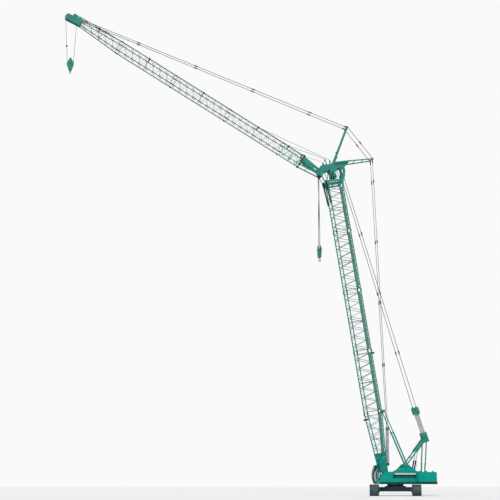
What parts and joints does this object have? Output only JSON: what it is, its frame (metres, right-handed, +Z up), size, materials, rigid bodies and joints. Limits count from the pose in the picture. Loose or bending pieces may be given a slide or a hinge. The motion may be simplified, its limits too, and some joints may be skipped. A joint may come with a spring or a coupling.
{
  "type": "scale model crawler crane with luffing jib",
  "caption": "Scale model of a lattice-boom crawler crane with a luffing jib, gantry, counterweight, cab and two hooks; it slews, luffs and hoists.",
  "frame": {"origin": "on the slew axis, at the ground under the tracks", "axes": "+Z up along the slew axis, -X the way the boom leans, +X the tail, -Y the crane's left side"},
  "size_m": [5.4496, 1.0944, 6.9759],
  "materials": {
    "green_paint": "satin",
    "counterweight_paint": "satin",
    "black_steel": "satin",
    "track_steel": "matte",
    "rope": "satin",
    "window_glass": "gloss",
    "cab_trim": "matte"
  },
  "bodies": {
    "undercarriage": {"carbody": "black_steel", "slewing_ring": "black_steel", "track_frame_left": "black_steel", "track_frame_right": "black_steel", "track_left": "track_steel", "track_right": "track_steel", "sprockets": "black_steel", "idlers": "black_steel", "track_rollers": "black_steel"},
    "upper": {"upper_frame": "green_paint", "house_left": "green_paint", "house_right": "green_paint", "engine_block": "black_steel", "exhaust": "black_steel", "counterweight_tray": "counterweight_paint", "counterweight_left": "counterweight_paint", "counterweight_right": "counterweight_paint", "cab_shell": "green_paint", "cab_glass": "window_glass", "cab_interior": "cab_trim", "winch_drums": "black_steel", "gantry_front_legs": "green_paint", "gantry_rear_legs": "green_paint", "gantry_cylinders": "black_steel"},
    "door": {"cab_door": "green_paint"},
    "gantry_swivel": {"gantry_head": "black_steel", "boom_hoist_rope": "rope"},
    "bridle": {"bridle": "black_steel"},
    "boom_stays": {"boom_pendants": "rope"},
    "backstop_tube": {"backstop_outer": "green_paint"},
    "backstop_rod": {"backstop_inner": "rope"},
    "boom": {"boom_base": "green_paint", "boom_insert_1": "green_paint", "boom_insert_2": "green_paint", "boom_insert_3": "green_paint", "boom_top": "green_paint", "boom_head": "green_paint", "boom_winch": "black_steel", "guide_rollers": "black_steel", "jib_hoist_anchor": "black_steel", "jib_luff_rope": "rope"},
    "jib_hoist": {"jib_hoist_block": "black_steel", "backstay_pendants": "rope"},
    "struts": {"front_strut": "green_paint", "rear_strut": "green_paint", "strut_pendants": "rope"},
    "jib": {"jib_base": "green_paint", "jib_insert_1": "green_paint", "jib_insert_2": "green_paint", "jib_insert_3": "green_paint", "jib_top": "green_paint", "jib_head": "green_paint"},
    "jib_stays": {"jib_pendants": "rope"},
    "boom_hook_head": {"boom_hook_sheaves": "black_steel", "boom_hook_rope": "rope"},
    "boom_hook": {"boom_hook": "green_paint"},
    "tip_sheave": {"tip_sheave": "black_steel"},
    "tip_rope": {"tip_hook_rope": "rope"},
    "tip_hook": {"tip_hook": "green_paint"}
  },
  "joints": [
    {"name": "slew", "type": "hinge", "parent": "undercarriage", "child": "upper", "pos_m": [0, 0, 0.16], "axis": [0, 0, 1], "continuous": true},
    {"name": "cab_door_slide", "type": "slide", "parent": "upper", "child": "door", "axis": [1, 0, 0], "range_m": [0, 0.06]},
    {"name": "boom_luff", "type": "hinge", "parent": "upper", "child": "boom", "pos_m": [-0.165, 0, 0.25], "axis": [0, 1, 0], "range_deg": [-20, 3]},
    {"name": "jib_luff", "type": "hinge", "parent": "boom", "child": "jib", "pos_m": [-1.06336, 0, 4.67734], "axis": [0, 1, 0], "range_deg": [-16, 34]},
    {"name": "strut_fold", "type": "hinge", "parent": "boom", "child": "struts", "pos_m": [-0.86646, 0, 4.86614], "axis": [0, 1, 0], "range_deg": [-23.91, 49.22]},
    {"name": "jib_stay_turn", "type": "hinge", "parent": "jib", "child": "jib_stays", "pos_m": [-4.65593, 0, 6.89611], "axis": [0, 1, 0], "range_deg": [-0.5131, 0.2763]},
    {"name": "jib_hoist_run", "type": "slide", "parent": "boom", "child": "jib_hoist", "axis": [0.0436, 0, 0.999], "range_m": [-0.4516, 0.2194], "deforming": ["jib_luff_rope"]},
    {"name": "gantry_swivel_turn", "type": "hinge", "parent": "upper", "child": "gantry_swivel", "pos_m": [0.452, 0, 0.826], "axis": [0, 1, 0], "range_deg": [-12.85, 2.17]},
    {"name": "bridle_run", "type": "slide", "parent": "gantry_swivel", "child": "bridle", "axis": [-0.3103, 0, 0.9506], "range_m": [-0.0495, 0.2921], "deforming": ["boom_hoist_rope"]},
    {"name": "boom_stay_turn", "type": "hinge", "parent": "boom", "child": "boom_stays", "pos_m": [-0.72418, 0, 4.68531], "axis": [0, 1, 0], "range_deg": [-3.1, 0.74]},
    {"name": "backstop_turn", "type": "hinge", "parent": "upper", "child": "backstop_tube", "pos_m": [0.182, 0, 0.396], "axis": [0, 1, 0], "range_deg": [-19.33, 3.27]},
    {"name": "backstop_stroke", "type": "slide", "parent": "backstop_tube", "child": "backstop_rod", "axis": [-0.3905, 0, 0.9206], "range_m": [-0.0225, 0.1326]},
    {"name": "boom_hook_level", "type": "hinge", "parent": "boom", "child": "boom_hook_head", "pos_m": [-1.06336, 0, 4.67734], "axis": [0, 1, 0], "range_deg": [-3.2, 20.2]},
    {"name": "boom_hook_hoist", "type": "slide", "parent": "boom_hook_head", "child": "boom_hook", "axis": [0, 0, -1], "range_m": [0, 2.6], "deforming": ["boom_hook_rope"]},
    {"name": "tip_sheave_turn", "type": "hinge", "parent": "jib", "child": "tip_sheave", "pos_m": [-4.8283, 0, 6.93086], "axis": [0, 1, 0], "range_deg": [-34.2, 16.2]},
    {"name": "tip_rope_level", "type": "hinge", "parent": "tip_sheave", "child": "tip_rope", "pos_m": [-4.8283, 0, 6.93086], "axis": [0, 1, 0], "range_deg": [-3.2, 20.2]},
    {"name": "tip_hook_hoist", "type": "slide", "parent": "tip_rope", "child": "tip_hook", "axis": [0, 0, -1], "range_m": [0, 2.6], "deforming": ["tip_hook_rope"]}
  ],
  "couplings": [
    {"joint": "strut_fold", "follows": "jib_luff", "ratio": 1.4062},
    {"joint": "jib_stay_turn", "follows": "jib_luff", "ratio": -0.013155},
    {"joint": "jib_hoist_run", "follows": "jib_luff", "m_per_rad": -0.73912},
    {"joint": "tip_sheave_turn", "follows": "jib_luff", "ratio": -1},
    {"joint": "gantry_swivel_turn", "follows": "boom_luff", "ratio": 0.62785},
    {"joint": "bridle_run", "follows": "boom_luff", "m_per_rad": -0.81782},
    {"joint": "boom_stay_turn", "follows": "boom_luff", "ratio": 0.13896},
    {"joint": "backstop_turn", "follows": "boom_luff", "ratio": 0.94494},
    {"joint": "backstop_stroke", "follows": "boom_luff", "m_per_rad": -0.37115},
    {"joint": "boom_hook_level", "follows": "boom_luff", "ratio": -1},
    {"joint": "tip_rope_level", "follows": "boom_luff", "ratio": -1}
  ]
}
